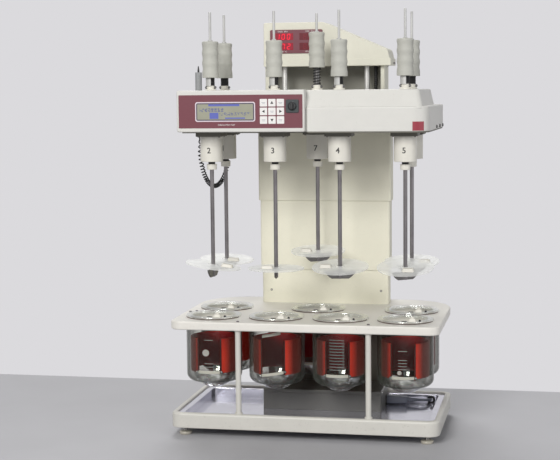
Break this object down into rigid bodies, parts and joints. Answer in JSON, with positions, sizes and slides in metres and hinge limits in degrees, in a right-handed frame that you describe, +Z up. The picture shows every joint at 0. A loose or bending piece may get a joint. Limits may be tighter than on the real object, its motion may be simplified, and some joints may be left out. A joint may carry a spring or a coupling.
{
  "type": "dissolution tester",
  "caption": "Bench dissolution tester: a lift tower carries a drive head with paddle shafts over jacketed glass vessels hung in a plate on a levelled base.",
  "frame": {"origin": "on the bench, under the middle of the base footprint", "axes": "+Z up, -Y towards the operator, +X to the right of the operator"},
  "size_m": [0.63, 0.4989, 0.988],
  "materials": {
    "white_paint": "satin",
    "base_paint": "satin",
    "plate_paint": "satin",
    "cream_paint": "satin",
    "head_paint": "satin",
    "dark_paint": "satin",
    "white_plastic": "gloss",
    "steel": "polished",
    "pan_steel": "polished",
    "carriage_metal": "satin",
    "grip_grey": "matte",
    "vessel_glass": "gloss",
    "clear_plastic": "gloss",
    "heater_red": "satin",
    "maroon_window": "gloss",
    "display_glass": "gloss",
    "black_plastic": "matte",
    "spring_steel": "satin",
    "probe_grey": "matte",
    "lead_rubber": "matte",
    "curl_rubber": "matte"
  },
  "bodies": {
    "frame": {"base_frame": "base_paint", "base_floor": "pan_steel", "leveling_feet": "steel", "power_box": "dark_paint", "power_inlet": "black_plastic", "vessel_plate": "plate_paint", "support_posts": "white_paint", "tower_base": "dark_paint", "tower_channel": "cream_paint", "skirt_lower": "cream_paint", "tower_cap": "cream_paint", "status_display": "maroon_window", "guide_rods": "steel", "lift_motor": "black_plastic", "vessels": "vessel_glass", "heater_jackets": "heater_red", "outer_jackets": "clear_plastic", "jacket_ties": "white_plastic", "flange_clips": "white_plastic", "cord_connector": "lead_rubber", "mains_cord": "lead_rubber", "cord_coil": "lead_rubber", "mains_plug": "lead_rubber"},
    "head": {"head_pan": "dark_paint", "head_cover": "head_paint", "control_panel": "white_plastic", "keypad": "white_plastic", "lcd_window": "display_glass", "carriage": "carriage_metal", "skirt_upper": "cream_paint", "spindle_housings": "white_plastic", "top_hubs": "white_plastic", "grip_springs": "spring_steel", "drive_motor": "black_plastic", "probe_cord": "curl_rubber"},
    "skirt_middle": {"skirt_middle": "cream_paint"},
    "lift_screw": {"lift_screw": "steel"},
    "key_switch": {"key_switch": "black_plastic"},
    "probe": {"probe": "probe_grey"},
    "lifter_1": {"grip_1": "grip_grey"},
    "paddle_1": {"paddle_1": "steel"},
    "cover_1": {"cover_1": "clear_plastic"},
    "lifter_2": {"grip_2": "grip_grey"},
    "paddle_2": {"paddle_2": "steel"},
    "cover_2": {"cover_2": "clear_plastic"},
    "lifter_3": {"grip_3": "grip_grey"},
    "paddle_3": {"paddle_3": "steel"},
    "cover_3": {"cover_3": "clear_plastic"},
    "lifter_4": {"grip_4": "grip_grey"},
    "paddle_4": {"paddle_4": "steel"},
    "cover_4": {"cover_4": "clear_plastic"},
    "lifter_5": {"grip_5": "grip_grey"},
    "paddle_5": {"paddle_5": "steel"},
    "cover_5": {"cover_5": "clear_plastic"},
    "lifter_6": {"grip_6": "grip_grey"},
    "paddle_6": {"paddle_6": "steel"},
    "cover_6": {"cover_6": "clear_plastic"},
    "lifter_7": {"grip_7": "grip_grey"},
    "paddle_7": {"paddle_7": "steel"},
    "cover_7": {"cover_7": "clear_plastic"}
  },
  "joints": [
    {"name": "head_lift", "type": "slide", "parent": "frame", "child": "head", "axis": [0, 0, 1], "range_m": [-0.238, 0]},
    {"name": "skirt_slide", "type": "slide", "parent": "frame", "child": "skirt_middle", "axis": [0, 0, 1], "range_m": [-0.082, 0]},
    {"name": "screw_turn", "type": "hinge", "parent": "frame", "child": "lift_screw", "pos_m": [0.126, 0.146, 0.5], "axis": [0, 0, 1], "range_deg": [-4300, 0]},
    {"name": "switch_turn", "type": "hinge", "parent": "head", "child": "key_switch", "pos_m": [-0.0185, -0.2, 0.7695], "axis": [0, -1, 0], "range_deg": [0, 90]},
    {"name": "probe_lift", "type": "slide", "parent": "head", "child": "probe", "axis": [0, 0, 1], "range_m": [0, 0.05], "deforming": ["probe_cord"]},
    {"name": "grip_1_lift", "type": "slide", "parent": "head", "child": "lifter_1", "axis": [0, 0, 1], "range_m": [0, 0.023], "deforming": ["grip_springs"]},
    {"name": "spin_1", "type": "hinge", "parent": "lifter_1", "child": "paddle_1", "pos_m": [-0.2286, 0.019, 0.5], "axis": [0, 0, 1], "continuous": true},
    {"name": "cover_1_slide", "type": "slide", "parent": "lifter_1", "child": "cover_1", "axis": [0, 0, 1], "range_m": [0, 0.152]},
    {"name": "grip_2_lift", "type": "slide", "parent": "head", "child": "lifter_2", "axis": [0, 0, 1], "range_m": [0, 0.023], "deforming": ["grip_springs"]},
    {"name": "spin_2", "type": "hinge", "parent": "lifter_2", "child": "paddle_2", "pos_m": [-0.2286, -0.119, 0.5], "axis": [0, 0, 1], "continuous": true},
    {"name": "cover_2_slide", "type": "slide", "parent": "lifter_2", "child": "cover_2", "axis": [0, 0, 1], "range_m": [0, 0.152]},
    {"name": "grip_3_lift", "type": "slide", "parent": "head", "child": "lifter_3", "axis": [0, 0, 1], "range_m": [0, 0.023], "deforming": ["grip_springs"]},
    {"name": "spin_3", "type": "hinge", "parent": "lifter_3", "child": "paddle_3", "pos_m": [-0.0762, -0.119, 0.5], "axis": [0, 0, 1], "continuous": true},
    {"name": "cover_3_slide", "type": "slide", "parent": "lifter_3", "child": "cover_3", "axis": [0, 0, 1], "range_m": [0, 0.152]},
    {"name": "grip_4_lift", "type": "slide", "parent": "head", "child": "lifter_4", "axis": [0, 0, 1], "range_m": [0, 0.023], "deforming": ["grip_springs"]},
    {"name": "spin_4", "type": "hinge", "parent": "lifter_4", "child": "paddle_4", "pos_m": [0.0762, -0.119, 0.5], "axis": [0, 0, 1], "continuous": true},
    {"name": "cover_4_slide", "type": "slide", "parent": "lifter_4", "child": "cover_4", "axis": [0, 0, 1], "range_m": [0, 0.152]},
    {"name": "grip_5_lift", "type": "slide", "parent": "head", "child": "lifter_5", "axis": [0, 0, 1], "range_m": [0, 0.023], "deforming": ["grip_springs"]},
    {"name": "spin_5", "type": "hinge", "parent": "lifter_5", "child": "paddle_5", "pos_m": [0.2286, -0.119, 0.5], "axis": [0, 0, 1], "continuous": true},
    {"name": "cover_5_slide", "type": "slide", "parent": "lifter_5", "child": "cover_5", "axis": [0, 0, 1], "range_m": [0, 0.152]},
    {"name": "grip_6_lift", "type": "slide", "parent": "head", "child": "lifter_6", "axis": [0, 0, 1], "range_m": [0, 0.023], "deforming": ["grip_springs"]},
    {"name": "spin_6", "type": "hinge", "parent": "lifter_6", "child": "paddle_6", "pos_m": [0.2286, 0.019, 0.5], "axis": [0, 0, 1], "continuous": true},
    {"name": "cover_6_slide", "type": "slide", "parent": "lifter_6", "child": "cover_6", "axis": [0, 0, 1], "range_m": [0, 0.152]},
    {"name": "grip_7_lift", "type": "slide", "parent": "head", "child": "lifter_7", "axis": [0, 0, 1], "range_m": [-0.023, 0], "deforming": ["grip_springs"]},
    {"name": "spin_7", "type": "hinge", "parent": "lifter_7", "child": "paddle_7", "pos_m": [0, 0.019, 0.5], "axis": [0, 0, 1], "continuous": true},
    {"name": "cover_7_slide", "type": "slide", "parent": "lifter_7", "child": "cover_7", "axis": [0, 0, 1], "range_m": [0, 0.152]}
  ],
  "couplings": [
    {"joint": "skirt_slide", "follows": "head_lift", "ratio": 0.34},
    {"joint": "screw_turn", "follows": "head_lift", "rad_per_m": 314.16},
    {"joint": "cover_1_slide", "follows": "head_lift", "ratio": -0.615},
    {"joint": "cover_2_slide", "follows": "head_lift", "ratio": -0.62},
    {"joint": "spin_2", "follows": "spin_1", "ratio": 1},
    {"joint": "cover_3_slide", "follows": "head_lift", "ratio": -0.605},
    {"joint": "spin_3", "follows": "spin_1", "ratio": 1},
    {"joint": "cover_4_slide", "follows": "head_lift", "ratio": -0.625},
    {"joint": "spin_4", "follows": "spin_1", "ratio": 1},
    {"joint": "cover_5_slide", "follows": "head_lift", "ratio": -0.63},
    {"joint": "spin_5", "follows": "spin_1", "ratio": 1},
    {"joint": "cover_6_slide", "follows": "head_lift", "ratio": -0.62},
    {"joint": "spin_6", "follows": "spin_1", "ratio": 1},
    {"joint": "cover_7_slide", "follows": "head_lift", "ratio": -0.62},
    {"joint": "spin_7", "follows": "spin_1", "ratio": 1}
  ]
}
